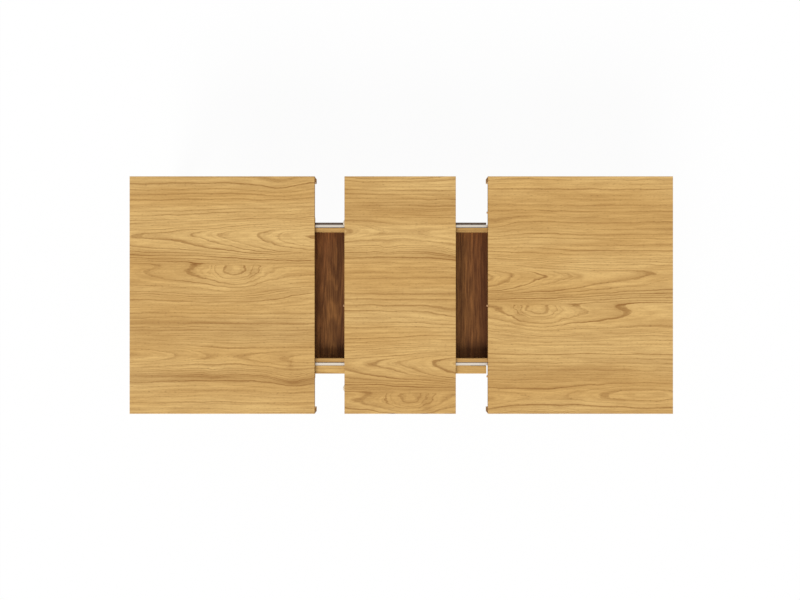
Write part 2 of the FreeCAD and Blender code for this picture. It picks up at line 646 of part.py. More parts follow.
def top_screw_groups():
    """Screws up through cleats, cross beams and cheeks into the half tops, with the cheeks' own screws."""
    short_screw = countersunk_screw(size("cleat_width + screw_bite"))
    long_screw = countersunk_screw(size("bearer_height + screw_bite"))
    cleat_foot, bearer_foot = size(f"{TOP_UNDER} - cleat_width"), size(BEARER_FOOT)
    cleat_line = size(f"{APRON_INSIDE_Y} - cleat_width / 2")
    beam_line = size(f"{BEAM_INSIDE} + beam_thick / 2")
    up = Vector(0, 0, 1)
    for half, sx in HALVES:
        screws = []
        for share in TOP_SCREW_SHARES:
            x = sx * size(f"opening + {share} * half_length")
            for side, sy in SIDES:
                screws.append((short_screw, Vector(x, sy * cleat_line, cleat_foot), up))
                if half == "left":
                    cheek_line = size(f"({CHEEK_FACE[side]} + {CHEEK_BACK[side]}) / 2")
                    screws.append((long_screw, Vector(x, sy * cheek_line, bearer_foot), up))
        for share in BEAM_SCREW_SHARES:
            y = size(f"{share} * beam_half_length")
            screws.append((long_screw, Vector(sx * beam_line, y, bearer_foot), up))
        if half == "left":
            screws += cheek_screws()
        screw_group(f"{half}_top_screws", screws)


def cheek_screws():
    """Level screws through the cheeks into the bearers."""
    screws = []
    for side, sy in SIDES:
        back = size(CHEEK_BACK[side])
        screw = countersunk_screw(back - size(CHEEK_FACE[side]) + size("cheek_bite"))
        for share in CHEEK_SCREW_SHARES:
            x = -size(f"opening + {share} * half_length")
            screws.append((screw, Vector(x, sy * back, size(SLIDE_MIDDLE)), Vector(0, -sy, 0)))
    return screws


def make_tops():
    """The two half tops and the leaf, with their pins, tongues and sockets."""
    left = panel("left_panel", towards(-1, "opening", OUTER_END), TOP_UNDER, "table_height")
    right = panel("right_panel", towards(1, "opening", OUTER_END), TOP_UNDER, "table_height")
    leaf = panel("leaf_board", (LEAF_LEFT, LEAF_RIGHT), RAIL_TOP, "table_height")
    along = Vector(1, 0, 0)
    tongue_set = "tongue_radius - tongue_proud"
    tongues = []
    for side, y in (("north", "tongue_north"), ("south", "-tongue_south")):
        tongues.append(rod(f"tongue_{side}", "tongue_radius", "tongue_thick",
                           (f"{LEAF_LEFT} + {tongue_set}", y, f"{JOINT_MIDDLE} - tongue_thick / 2")))
        bore(leaf, f"tongue_slot_{side}", "tongue_radius + seat_clear", "tongue_thick + 2 * seat_clear",
             (f"{LEAF_LEFT} + {tongue_set}", y, f"{JOINT_MIDDLE} - tongue_thick / 2 - seat_clear"))
        bore(left, f"tongue_socket_{side}", "tongue_radius + socket_clear",
             "tongue_thick + 2 * socket_clear",
             (f"-opening + meet_gap + {tongue_set}", y, f"{JOINT_MIDDLE} - tongue_thick / 2 - socket_clear"))
    seat = "pin_length - pin_proud"
    seat_radius, socket_radius = "pin_radius + seat_clear", "pin_radius + socket_clear"
    socket_depth = "pin_proud + socket_clear"
    pin_start = (f"{LEAF_LEFT} - pin_proud", "-pin_middle", JOINT_MIDDLE)
    pin = rod("middle_pin", "pin_radius", "pin_length", pin_start, along)
    bore(leaf, "pin_seat", seat_radius, seat, (LEAF_LEFT, "-pin_middle", JOINT_MIDDLE), along)
    bore(left, "pin_socket", socket_radius, socket_depth,
         (f"-opening - ({socket_depth})", "-pin_middle", JOINT_MIDDLE), along)
    half_pins = []
    for side, y in (("north", "pin_north"), ("middle", "-pin_middle"), ("south", "-pin_south")):
        pin_start = ("opening - pin_proud", y, JOINT_MIDDLE)
        half_pins.append(rod(f"half_pin_{side}", "pin_radius", "pin_length", pin_start, along))
        bore(right, f"half_pin_seat_{side}", seat_radius, seat, ("opening", y, JOINT_MIDDLE), along)
        bore(leaf, f"half_pin_socket_{side}", socket_radius, socket_depth,
             (f"{LEAF_RIGHT} - ({socket_depth})", y, JOINT_MIDDLE), along)
    node("left_top", left)
    node("right_top", right)
    node("leaf_panel", leaf)
    node("leaf_tongues", group("tongues", tongues))
    node("leaf_pin", pin)
    node("right_pins", group("half_pins", half_pins))


def check_document():
    """Stop if any object failed or any node's shape is missing or broken."""
    for item in document.Objects:
        if {"Invalid", "Error"} & set(item.State):
            raise RuntimeError(f"{item.Name} did not recompute: {item.State}")
    for item in nodes:
        if item.Shape.isNull() or not item.Shape.isValid():
            raise RuntimeError(f"{item.Label} has no valid shape")


def write_parts():
    """Write each node's shape to its own file."""
    os.makedirs("parts", exist_ok=True)
    for item in nodes:
        item.Shape.exportStep(f"parts/{item.Label}.step")
        box = item.Shape.BoundBox
        corners = [f"{low:.1f} to {high:.1f}" for low, high in
                   ((box.XMin, box.XMax), (box.YMin, box.YMax), (box.ZMin, box.ZMax))]
        print(item.Label, f"solids {len(item.Shape.Solids)}", *corners, sep="  ")


def main():
    """Build the table, check it and write its parts."""
    fill_sheet()
    make_tray()
    tray_screw_group()
    make_slides()
    make_ball_cages()
    slide_screw_groups()
    make_bearers()
    for half, sx in HALVES:
        make_half(half, sx)
    make_tops()
    top_screw_groups()
    document.recompute()
    check_document()
    write_parts()


main()
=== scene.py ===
"""Looks of a split-top extension table: finishes, fittings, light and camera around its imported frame.

Metres, +X along the table to the right half, +Y to the far long side, +Z up, origin on the floor.
"""
import logging
from dataclasses import dataclass
from enum import Enum
from functools import cache
from math import cos, pi, radians, sin
from typing import Callable, Sequence, Union

import bmesh
import bpy
from mathutils import Matrix, Vector


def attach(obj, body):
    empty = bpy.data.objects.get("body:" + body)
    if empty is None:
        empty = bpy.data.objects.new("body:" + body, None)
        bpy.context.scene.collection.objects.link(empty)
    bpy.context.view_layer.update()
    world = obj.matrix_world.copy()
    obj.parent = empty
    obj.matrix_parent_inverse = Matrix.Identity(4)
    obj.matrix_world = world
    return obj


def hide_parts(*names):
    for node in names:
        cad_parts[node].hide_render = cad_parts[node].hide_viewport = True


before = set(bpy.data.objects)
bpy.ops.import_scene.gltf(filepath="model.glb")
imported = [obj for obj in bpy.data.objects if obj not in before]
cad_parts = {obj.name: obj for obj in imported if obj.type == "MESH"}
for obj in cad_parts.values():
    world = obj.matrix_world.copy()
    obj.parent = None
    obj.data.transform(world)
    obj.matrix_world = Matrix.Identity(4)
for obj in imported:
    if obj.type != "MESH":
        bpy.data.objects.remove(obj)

LOG = logging.getLogger("extension_table")
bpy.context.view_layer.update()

Socket = bpy.types.NodeSocket
Value = Union[bpy.types.NodeSocket, float]
Colour = tuple[float, float, float, float]
Triple = tuple[float, float, float]
Points = tuple[tuple[float, float], ...]
Outline = Union[float, Callable[[float], float]]

INVERSE_E = 0.36787944
DIAGONAL = 2 ** 0.5
TINY = 1e-6
NOISE_MIDDLE = 0.5
EDGE_BLUR = 0.003
SRGB_KNEE, SRGB_SLOPE, SRGB_LIFT, SRGB_POWER = 0.04045, 12.92, 0.055, 2.4


def shades(codes: str) -> list[Colour]:
    """Turn six-digit colours as seen on screen into linear light.

    Args:
        codes: For each colour red, green and blue as two hexadecimal digits each.

    Returns:
        The linear colours with full opacity.
    """
    found = []
    for code in codes.split():
        parts = [int(code[i:i + 2], 16) / 255 for i in (0, 2, 4)]
        linear = [p / SRGB_SLOPE if p <= SRGB_KNEE else ((p + SRGB_LIFT) / (1 + SRGB_LIFT)) ** SRGB_POWER
                  for p in parts]
        found.append((*linear, 1.0))
    return found


class Grain(Enum):
    """Which way the grain runs: the order of the axes along, across and through a piece."""

    ALONG_X = (0, 1, 2)
    ALONG_Y = (1, 0, 2)
    ALONG_Z = (2, 0, 1)


@dataclass(frozen=True)
class Mottle:
    """Noise with so many spots per metre, whose range from low to high is carried over to start and end."""

    spots: Triple
    low: float
    high: float
    layers: float = 2.0
    start: float = 0.0
    end: float = 1.0


@dataclass(frozen=True)
class Sway:
    """Noise with so many spots per metre, which pushes a value up and down within its reach."""

    spots: Triple
    reach: float
    layers: float = 2.0


@dataclass(frozen=True)
class Swell:
    """A soft rise, or a dip if its amount is negative, in a flitch's figure.

    Where it has an edge, it ends there sharply instead of reaching across it.
    """

    along: float
    across: float
    reach_along: float
    reach_across: float
    amount: float
    edge: float = 0.0


class Sheet:
    """A finish's node tree, written as formulas."""

    def __init__(self, name: str) -> None:
        """Start an empty tree.

        Args:
            name: The material's name.
        """
        self.material = bpy.data.materials.new(name)
        self.material.use_nodes = True
        self.tree = self.material.node_tree
        self.tree.nodes.clear()

    def add(self, kind: str, feeds: dict, **settings: object) -> bpy.types.Node:
        """Add a node.

        Args:
            kind: The node's type.
            feeds: Input name or number to a socket or a plain value.
            settings: The node's own properties.

        Returns:
            The new node.
        """
        node = self.tree.nodes.new(kind)
        for key, value in settings.items():
            setattr(node, key, value)
        for key, value in feeds.items():
            if isinstance(value, bpy.types.NodeSocket):
                self.tree.links.new(value, node.inputs[key])
            else:
                node.inputs[key].default_value = value
        return node

    def math(self, operation: str, *values: Value, clamp: bool = False) -> Socket:
        """Work out one operation, held between 0 and 1 if it is clamped."""
        feeds = dict(enumerate(values))
        return self.add("ShaderNodeMath", feeds, operation=operation, use_clamp=clamp).outputs[0]

    def vector(self, operation: str, *values: Union[Socket, Triple]) -> bpy.types.Node:
        """Work out one operation on vectors."""
        return self.add("ShaderNodeVectorMath", dict(enumerate(values)), operation=operation)

    def times(self, first: Value, second: Value) -> Socket:
        """One value times another."""
        return self.math("MULTIPLY", first, second)

    def plus(self, base: Value, value: Value, share: Value) -> Socket:
        """A base with a share of a value added to it."""
        return self.math("MULTIPLY_ADD", value, share, base)

    def point(self, x: Value, y: Value, z: Value) -> Socket:
        """Join three values to a vector."""
        return self.add("ShaderNodeCombineXYZ", {0: x, 1: y, 2: z}).outputs[0]

    def noise(self, place: Socket, spots: Triple, layers: float = 2.0) -> Socket:
        """Soft noise from 0 to 1, with its spots per metre along each axis and its finer layers."""
        scaled = self.vector("MULTIPLY", place, spots).outputs[0]
        return self.add("ShaderNodeTexNoise", {"Vector": scaled, "Scale": 1.0, "Detail": layers}).outputs[0]

    def eased(self, value: Value, low: float, high: float, start: float = 0.0, end: float = 1.0) -> Socket:
        """Carry a value smoothly from the range low to high over to start and end, held at both ends."""
        feeds = {0: value, 1: low, 2: high, 3: start, 4: end}
        return self.add("ShaderNodeMapRange", feeds, interpolation_type="SMOOTHSTEP").outputs[0]

    def mottled(self, place: Socket, mottle: Mottle) -> Socket:
        """A mottle's value at a place."""
        noise = self.noise(place, mottle.spots, mottle.layers)
        return self.eased(noise, mottle.low, mottle.high, mottle.start, mottle.end)

    def swayed(self, value: Value, place: Socket, sway: Sway) -> Socket:
        """A value that a sway pushes up and down."""
        push = self.math("SUBTRACT", self.noise(place, sway.spots, sway.layers), NOISE_MIDDLE)
        return self.plus(value, push, sway.reach)

    def curve(self, value: Value, points: Points) -> Socket:
        """Read a value off a smooth line.

        Args:
            value: The place along the line, from 0 to 1.
            points: Places and heights that the line goes through.

        Returns:
            The height's socket.
        """
        node = self.add("ShaderNodeFloatCurve", {"Value": value})
        line = node.mapping.curves[0]
        line.points[0].location = points[0]
        line.points[1].location = points[-1]
        for point in points[1:-1]:
            line.points.new(*point)
        node.mapping.update()
        return node.outputs[0]

    def mix(self, share: Value, first: Union[Socket, Colour], second: Union[Socket, Colour]) -> Socket:
        """Mix two colours, by the share of the second."""
        feeds = {0: share, 6: first, 7: second}
        return self.add("ShaderNodeMix", feeds, data_type="RGBA").outputs[2]

    def bell(self, place: Socket, swell: Swell) -> Socket:
        """The height of a bell that is 1 at a swell's middle.

        Args:
            place: Where it is read, in the flitch.
            swell: The bell's middle and reach.

        Returns:
            The height's socket.
        """
        inverse = (1 / swell.reach_along, 1 / swell.reach_across, 0.0)
        offset = (-swell.along * inverse[0], -swell.across * inverse[1], 0.0)
        local = self.vector("MULTIPLY_ADD", place, inverse, offset).outputs[0]
        square = self.vector("DOT_PRODUCT", local, local).outputs["Value"]
        height = self.math("POWER", INVERSE_E, square)
        if not swell.edge:
            return height
        across = self.add("ShaderNodeSeparateXYZ", {0: place}).outputs[1]
        return self.times(height, self.eased(across, swell.edge - EDGE_BLUR, swell.edge + EDGE_BLUR))

    def relief(self, height: Socket, distance: float, strength: float) -> Socket:
        """The normal of a fine relief, whose height 1 stands for a distance in metres."""
        feeds = {"Height": height, "Distance": distance, "Strength": strength}
        return self.add("ShaderNodeBump", feeds).outputs[0]

    def surface(self, feeds: dict) -> bpy.types.Material:
        """Finish the tree with a surface.

        Args:
            feeds: The surface's input names to sockets or plain values.

        Returns:
            The finished material.
        """
        shader = self.add("ShaderNodeBsdfPrincipled", feeds)
        self.add("ShaderNodeOutputMaterial", {"Surface": shader.outputs[0]})
        return self.material


@dataclass(frozen=True)
class Flitch:
    """The figure of a veneer flitch: its growth lines repeat across, and swells make its points and eyes.

    The profile counts the lines across it, bands are darker, and accents make the lines stronger.
    """

    repeat: float
    lines: float
    profile: Points
    bands: Points
    accents: Points
    swells: tuple[Swell, ...]
    drifts: tuple[Swell, ...] = ()
    stains: tuple[Swell, ...] = ()

    def shares(self, points: Points, whole: float = 1.0) -> Points:
        """Points across the flitch, with places and heights as shares of the whole."""
        return tuple((place / self.repeat, height / whole) for place, height in points)


@dataclass(frozen=True)
class Cut:
    """Where in the flitch a panel was cut: along = way * x + start, across = edge - y."""

    way: float
    start: float
    edge: float


END_FACING = (0.6, 0.9)


class GrainField:
    """Coordinates along, across and through the grain of a piece, and how far a face cuts across it."""

    def __init__(self, sheet: Sheet, grain: Grain) -> None:
        """Read the coordinates.

        Args:
            sheet: The tree to read them in.
            grain: Which way the grain runs.
        """
        local = sheet.add("ShaderNodeTexCoord", {}).outputs["Object"]
        parts = sheet.add("ShaderNodeSeparateXYZ", {0: local}).outputs
        self.along, self.across, self.depth = (parts[i] for i in grain.value)
        self.place = sheet.point(self.along, self.across, self.depth)
        normal = sheet.add("ShaderNodeNewGeometry", {}).outputs["Normal"]
        facing = sheet.add("ShaderNodeSeparateXYZ", {0: normal}).outputs[grain.value[0]]
        self.end = sheet.eased(sheet.math("ABSOLUTE", facing), *END_FACING)


UNEVEN_RINGS = Sway((0.4, 0.7, 1.0), 1.1, layers=0.0)
LATE_WOOD = ((0.0, 0.08), (0.5, 0.08), (0.77, 0.4), (0.9, 1.0), (1.0, 0.08))
RING_PATCHES = Mottle((2.2, 0.9, 1.0), 0.3, 0.7, start=0.5, end=1.2)
TONES = Mottle((1.3, 7.0, 7.0), 0.3, 0.7)
STREAKS = Mottle((3.2, 4.0, 1.0), 0.36, 0.66)
FIBRES = Mottle((13.0, 170.0, 170.0), 0.32, 0.68)
PORES = Mottle((80.0, 480.0, 480.0), 0.56, 0.7, layers=1.0)


@dataclass(frozen=True)
class Timber:
    """A timber's colours, the width of its growth rings and the shares in which its features show."""

    name: str
    pale: Colour
    middle: Colour
    dark: Colour
    pore: Colour
    line_share: float
    streak_share: float
    fibre_share: float
    pore_share: float
    end_grain_and_painted_shade_share: float
    roughness: float
    gloss: float
    ring: float = 0.011
    first_year: float = 0.0
    weakest_line: float = 0.3
    stained_line: float = 0.6
    early_pores: float = 0.4
    pore_depth: float = 0.8
    fibre_depth: float = 0.2
    pore_roughness: float = 0.2
    end_roughness: float = 0.45
    relief_height: float = 0.0002
    relief_share: float = 0.3

    def coat(self, sheet: Sheet, field: GrainField, rings: Socket, stain: Value,
             accent: Value) -> bpy.types.Material:
        """Colour a surface by its growth lines, fibres, pores and darker end grain, the end faces' darkening
        being partly real end grain and partly painted shade.

        Args:
            sheet: The tree to finish.
            field: Along, across and through the grain, in metres.
            rings: Growth lines counted across the surface.
            stain: Extra darkness from 0 to 1.
            accent: How strong the growth lines are here.

        Returns:
            The finished material.
        """
        place = field.place
        rings = sheet.swayed(rings, sheet.point(field.along, rings, 0.0), UNEVEN_RINGS)
        on_ring = sheet.point(field.along, rings, 0.0)
        late = sheet.curve(sheet.math("FRACT", rings), LATE_WOOD)
        year = sheet.math("ADD", sheet.math("FLOOR", rings), self.first_year)
        chance = sheet.add("ShaderNodeTexWhiteNoise", {"W": year}, noise_dimensions="1D").outputs["Value"]
        clear = sheet.plus(self.weakest_line, chance, 1 - self.weakest_line)
        strength = sheet.times(clear, sheet.times(sheet.mottled(on_ring, RING_PATCHES), accent))
        line = sheet.times(late, sheet.plus(strength, stain, self.stained_line))
        fibre = sheet.mottled(place, FIBRES)
        darkened = (
            (sheet.mottled(on_ring, STREAKS), self.streak_share),
            (fibre, self.fibre_share),
            (line, self.line_share),
            (stain, 1.0),
            # End faces darkened: partly real end grain, partly painted shade for ends that sit in shade, such
            # as the aprons' ends under the top.
            (field.end, self.end_grain_and_painted_shade_share),
        )
        colour = sheet.mix(sheet.mottled(place, TONES), self.middle, self.pale)
        for feature, share in darkened:
            colour = sheet.mix(sheet.times(feature, share), colour, self.dark)
        open_pores = sheet.plus(self.early_pores, late, 1 - self.early_pores)
        pitted = sheet.times(sheet.mottled(place, PORES), open_pores)
        rough = sheet.plus(self.roughness, pitted, self.pore_roughness)
        height = sheet.plus(sheet.plus(1.0, fibre, -self.fibre_depth), pitted, -self.pore_depth)
        return sheet.surface({
            "Base Color": sheet.mix(sheet.times(pitted, self.pore_share), colour, self.pore),
            "Roughness": sheet.plus(rough, field.end, self.end_roughness),
            "Normal": sheet.relief(height, self.relief_height, self.relief_share),
            "Specular IOR Level": self.gloss,
        })


RING_TILT_ACROSS, RING_TILT_DEPTH = 0.78, 0.62
RAIL_WAVE = Sway((1.4, 6.0, 6.0), 0.05)
RAIL_RIPPLE = Sway((9.0, 30.0, 30.0), 0.006)


@dataclass(frozen=True)
class StraightWood:
    """A timber with straight growth lines, for rails, legs and frame pieces."""

    timber: Timber
    grain: Grain

    @cache
    def material(self) -> bpy.types.Material:
        """The finish's material, made once."""
        sheet = Sheet(f"{self.timber.name}_{self.grain.name.lower()}")
        field = GrainField(sheet, self.grain)
        slant = sheet.plus(sheet.times(field.across, RING_TILT_ACROSS), field.depth, RING_TILT_DEPTH)
        for sway in (RAIL_RIPPLE, RAIL_WAVE):
            slant = sheet.swayed(slant, field.place, sway)
        return self.timber.coat(sheet, field, sheet.math("DIVIDE", slant, self.timber.ring), 0.0, 1.0)


PANEL_JAG = Sway((30.0, 45.0, 5.0), 0.05)
PANEL_RIPPLE = Sway((13.0, 30.0, 5.0), 0.011, layers=3.0)
PANEL_WAVE = Sway((2.0, 5.0, 1.0), 0.022)
PANEL_BLOTCHES = Mottle((3.0, 14.0, 5.0), 0.25, 0.75, start=0.4, end=1.2)
LINES_PER_DEPTH = 40.0


@dataclass(frozen=True)
class FiguredWood:
    """A timber with the flitch's points and eyes, for the panels."""

    name: str
    timber: Timber
    flitch: Flitch
    grain: Grain
    cut: Cut

    @cache
    def material(self) -> bpy.types.Material:
        """The finish's material, made once."""
        sheet = Sheet(self.name)
        field = GrainField(sheet, self.grain)
        flitch = self.flitch
        along = sheet.plus(self.cut.start, field.along, self.cut.way)
        along = sheet.swayed(along, field.place, PANEL_JAG)
        across = sheet.math("SUBTRACT", self.cut.edge, field.across)
        for sway in (PANEL_RIPPLE, PANEL_WAVE):
            across = sheet.swayed(across, field.place, sway)
        across = sheet.math("WRAP", across, flitch.repeat, 0.0)
        spot = sheet.point(along, across, 0.0)
        for drift in flitch.drifts:
            across = sheet.plus(across, sheet.bell(spot, drift), -drift.amount)
        share = sheet.math("DIVIDE", across, flitch.repeat)
        rings = sheet.times(sheet.curve(share, flitch.shares(flitch.profile, flitch.lines)), flitch.lines)
        for swell in flitch.swells:
            rings = sheet.plus(rings, sheet.bell(spot, swell), swell.amount)
        rings = sheet.plus(rings, field.depth, LINES_PER_DEPTH)
        stain = sheet.curve(share, flitch.shares(flitch.bands))
        for mark in flitch.stains:
            stain = sheet.plus(stain, sheet.bell(spot, mark), mark.amount)
        stain = sheet.math("MULTIPLY", stain, sheet.mottled(field.place, PANEL_BLOTCHES), clamp=True)
        accent = sheet.curve(share, flitch.shares(flitch.accents))
        return self.timber.coat(sheet, field, rings, stain, accent)


DRAWN_LINES = Mottle((6.0, 900.0, 900.0), 0.3, 0.7, layers=3.0)
DULL_CLOUDS = Mottle((9.0, 25.0, 25.0), 0.35, 0.7)
SPECKS = Mottle((500.0, 500.0, 500.0), 0.62, 0.72)


@dataclass(frozen=True)
class Steel:
    """Plated or painted steel with drawn lines along X and small specks."""

    name: str
    bright: Colour
    dull: Colour
    roughness: float
    relief: float = 0.25
    metallic: float = 1.0
    line_share: float = 0.45
    cloud_share: float = 0.4
    speck_share: float = 0.3
    cloud_roughness: float = 0.12
    speck_roughness: float = 0.1
    line_depth: float = 0.00008

    @cache
    def material(self) -> bpy.types.Material:
        """The finish's material, made once."""
        sheet = Sheet(self.name)
        place = GrainField(sheet, Grain.ALONG_X).place
        drawn, cloud, speck = (sheet.mottled(place, mottle) for mottle in (DRAWN_LINES, DULL_CLOUDS, SPECKS))
        clouded = sheet.plus(sheet.times(cloud, self.cloud_share), drawn, self.line_share)
        colour = sheet.mix(clouded, self.bright, self.dull)
        rough = sheet.plus(self.roughness, speck, self.speck_roughness)
        return sheet.surface({
            "Base Color": sheet.mix(sheet.times(speck, self.speck_share), colour, self.dull),
            "Metallic": self.metallic,
            "Roughness": sheet.plus(rough, cloud, self.cloud_roughness),
            "Normal": sheet.relief(sheet.math("ADD", drawn, speck), self.line_depth, self.relief),
        })


PEBBLES = (1600.0, 1600.0, 1600.0)
SCUFF_CLOUDS = Mottle((60.0, 60.0, 60.0), 0.35, 0.75, layers=3.0)
SCRATCHES = Mottle((40.0, 700.0, 300.0), 0.6, 0.72)


@dataclass(frozen=True)
class Moulding:
    """Moulded plastic with a fine spark-eroded texture and scuffs."""

    name: str
    body: Colour
    scuff: Colour
    roughness: float
    cloud_share: float = 0.35
    scratch_share: float = 0.4
    cloud_roughness: float = 0.15
    pebble_depth: float = 0.00005
    pebble_share: float = 0.5

    @cache
    def material(self) -> bpy.types.Material:
        """The finish's material, made once."""
        sheet = Sheet(self.name)
        place = GrainField(sheet, Grain.ALONG_X).place
        cloud = sheet.mottled(place, SCUFF_CLOUDS)
        scratch = sheet.mottled(place, SCRATCHES)
        colour = sheet.mix(sheet.times(cloud, self.cloud_share), self.body, self.scuff)
        return sheet.surface({
            "Base Color": sheet.mix(sheet.times(scratch, self.scratch_share), colour, self.scuff),
            "Roughness": sheet.plus(self.roughness, cloud, self.cloud_roughness),
            "Normal": sheet.relief(sheet.noise(place, PEBBLES), self.pebble_depth, self.pebble_share),
        })


# Oak's strong end-face darkening is partly painted shade on the aprons' ends.
OAK = Timber(
    "oak", *shades("E4BE7B D4AA67 8F612B 6F4C24"),
    line_share=0.76, streak_share=0.22, fibre_share=0.24, pore_share=0.48, end_grain_and_painted_shade_share=0.85,
    roughness=0.42, gloss=0.2, first_year=2255959.0)
RAIL_OAK = Timber(
    "rail_oak", *shades("E3BA72 D5AA63 8F632F 7D5A30"),
    line_share=0.9, streak_share=0.3, fibre_share=0.25, pore_share=0.35, end_grain_and_painted_shade_share=0.7,
    roughness=0.45, gloss=0.2)
TRAY_OAK = Timber(
    "tray_oak", *shades("CBA162 C09658 8A6230 6B4A26"),
    line_share=0.45, streak_share=0.25, fibre_share=0.25, pore_share=0.35, end_grain_and_painted_shade_share=0.7,
    roughness=0.45, gloss=0.2)
WALNUT = Timber(
    "walnut", *shades("A8723D 935D34 3E1E0E 261208"),
    line_share=1.0, streak_share=0.45, fibre_share=0.55, pore_share=0.3, end_grain_and_painted_shade_share=0.5,
    roughness=0.5, gloss=0.1)
BEECH = Timber(
    "beech", *shades("D9B48A CBA175 AE8258 8E6640"),
    line_share=0.3, streak_share=0.3, fibre_share=0.35, pore_share=0.35, end_grain_and_painted_shade_share=0.5,
    roughness=0.6, gloss=0.25, ring=0.006)
BEECH_X, BEECH_Y = StraightWood(BEECH, Grain.ALONG_X), StraightWood(BEECH, Grain.ALONG_Y)

OAK_FLITCH = Flitch(
    repeat=0.955,
    lines=25.45,
    profile=((0.0, 12.95), (0.11, 7.85), (0.134, 6.75), (0.195, 1.55), (0.217, 0.45), (0.24, 0.9),
             (0.275, 1.75), (0.29, 2.75), (0.305, 4.4), (0.32, 6.0), (0.332, 7.5), (0.343, 7.75),
             (0.36, 7.6), (0.38, 7.6), (0.42, 8.1), (0.45, 10.5), (0.485, 12.95), (0.522, 15.95),
             (0.574, 18.95), (0.605, 22.0), (0.635, 24.6), (0.677, 25.45), (0.72, 24.6), (0.747, 22.6),
             (0.771, 20.2), (0.794, 18.95), (0.955, 10.95)),
    bands=((0.0, 0.14), (0.05, 0.1), (0.17, 0.02), (0.26, 0.06), (0.296, 0.2), (0.318, 0.16), (0.345, 0.04),
           (0.41, 0.04), (0.45, 0.18), (0.48, 0.06), (0.535, 0.2), (0.59, 0.26), (0.64, 0.12), (0.69, 0.03),
           (0.74, 0.1), (0.765, 0.42), (0.785, 0.06), (0.955, 0.14)),
    accents=((0.0, 0.85), (0.08, 0.85), (0.17, 1.0), (0.21, 0.95), (0.27, 1.0), (0.285, 1.7), (0.328, 1.7),
             (0.345, 1.0), (0.42, 1.0), (0.47, 0.8), (0.5, 0.65), (0.54, 0.95), (0.575, 0.8), (0.6, 0.5),
             (0.65, 0.9), (0.72, 1.0), (0.76, 1.25), (0.785, 1.0), (0.805, 0.75), (0.88, 0.7), (0.955, 0.85)),
    swells=(Swell(0.76, 0.242, 0.46, 0.085, -6.0), Swell(0.05, 0.242, 0.1, 0.05, -0.45),
            Swell(0.44, 0.242, 0.14, 0.05, 0.5), Swell(0.40, 0.345, 0.085, 0.062, -3.4, edge=0.334),
            Swell(0.31, 0.362, 0.24, 0.042, -1.7), Swell(-0.02, 0.678, 0.29, 0.05, 3.3),
            Swell(0.72, 0.695, 0.34, 0.045, 2.7)),
    drifts=(Swell(0.315, 0.735, 0.03, 0.03, 0.013), Swell(0.61, 0.755, 0.08, 0.05, 0.026),
            Swell(0.57, 0.04, 0.09, 0.045, 0.022), Swell(0.57, 0.995, 0.09, 0.045, 0.022),
            Swell(0.36, 0.45, 0.24, 0.05, 0.012), Swell(0.78, 0.44, 0.24, 0.05, -0.035)),
    stains=(Swell(0.465, 0.372, 0.025, 0.034, 0.35), Swell(0.24, 0.225, 0.02, 0.014, 0.25),
            Swell(0.615, 0.708, 0.008, 0.024, 0.5), Swell(0.285, 0.692, 0.05, 0.006, 0.35),
            Swell(0.30, 0.76, 0.05, 0.012, 0.22), Swell(0.62, 0.78, 0.04, 0.012, 0.25)),
)

WALNUT_FLITCH = Flitch(
    repeat=1.4,
    lines=96.0,
    profile=((0.0, 0.0), (0.7, 96.0), (1.4, 0.0)),
    bands=((0.0, 0.3), (0.009, 0.2), (0.02, 0.6), (0.03, 0.1), (0.046, 0.62), (0.056, 0.12), (0.067, 0.5),
           (0.085, 0.0), (0.3, 0.1), (0.51, 0.6), (0.54, 0.45), (0.575, 0.16), (0.6, 0.0), (0.63, 0.0),
           (1.0, 0.1), (1.37, 0.48), (1.4, 0.3)),
    accents=((0.0, 1.0), (1.4, 1.0)),
    swells=(Swell(-0.35, 0.57, 0.42, 0.035, -1.3), Swell(0.1, 0.55, 0.25, 0.03, 0.8)),
)

SLIDE_STEEL = Steel("slide_steel", *shades("CFC6BA B9AFA1"), roughness=0.36)
DARK_STEEL = Steel("dark_steel", *shades("4B392B 392B21"), roughness=0.5, relief=0.3, metallic=0.0)
SCREW_STEEL = Steel("screw_steel", *shades("D8CDA8 B6A67C"), roughness=0.32)
ZINC = Steel("zinc", *shades("D6D6D6 B4B4B4"), roughness=0.3)
TONGUE_PLASTIC = Moulding("tongue_plastic", *shades("DCCFB8 C9B795"), roughness=0.45)
GLIDE_PLASTIC = Moulding("glide_plastic", *shades("4A3B2E 6B5A4A"), roughness=0.5)

EASED_ANGLE = radians(40)
EASED_STEPS = 2
SHARP_ANGLE = radians(35)

Finish = Union[StraightWood, FiguredWood, Steel, Moulding]


def dress_nodes(finishes: dict[str, Finish], lead: str = "") -> None:
    """Give frame nodes their finishes.

    Args:
        finishes: The nodes' names without their lead, each to its finish.
        lead: What all the names begin with.
    """
    for name, finish in finishes.items():
        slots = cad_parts[lead + name].data.materials
        slots.clear()
        slots.append(finish.material())
        LOG.info("%s: %s", lead + name, slots[0].name)


def soften(node: str, width: float) -> None:
    """Round a frame node's sharp edges a little, without touching its mesh.

    Args:
        node: The node's name.
        width: How wide the rounding is, in metres.
    """
    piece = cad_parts[node]
    weld = piece.modifiers.new("joined_faces", "WELD")
    weld.merge_threshold = TINY
    rounding = piece.modifiers.new("eased_edges", "BEVEL")
    rounding.width = width
    rounding.segments = EASED_STEPS
    rounding.limit_method = "ANGLE"
    rounding.angle_limit = EASED_ANGLE
    rounding.harden_normals = True


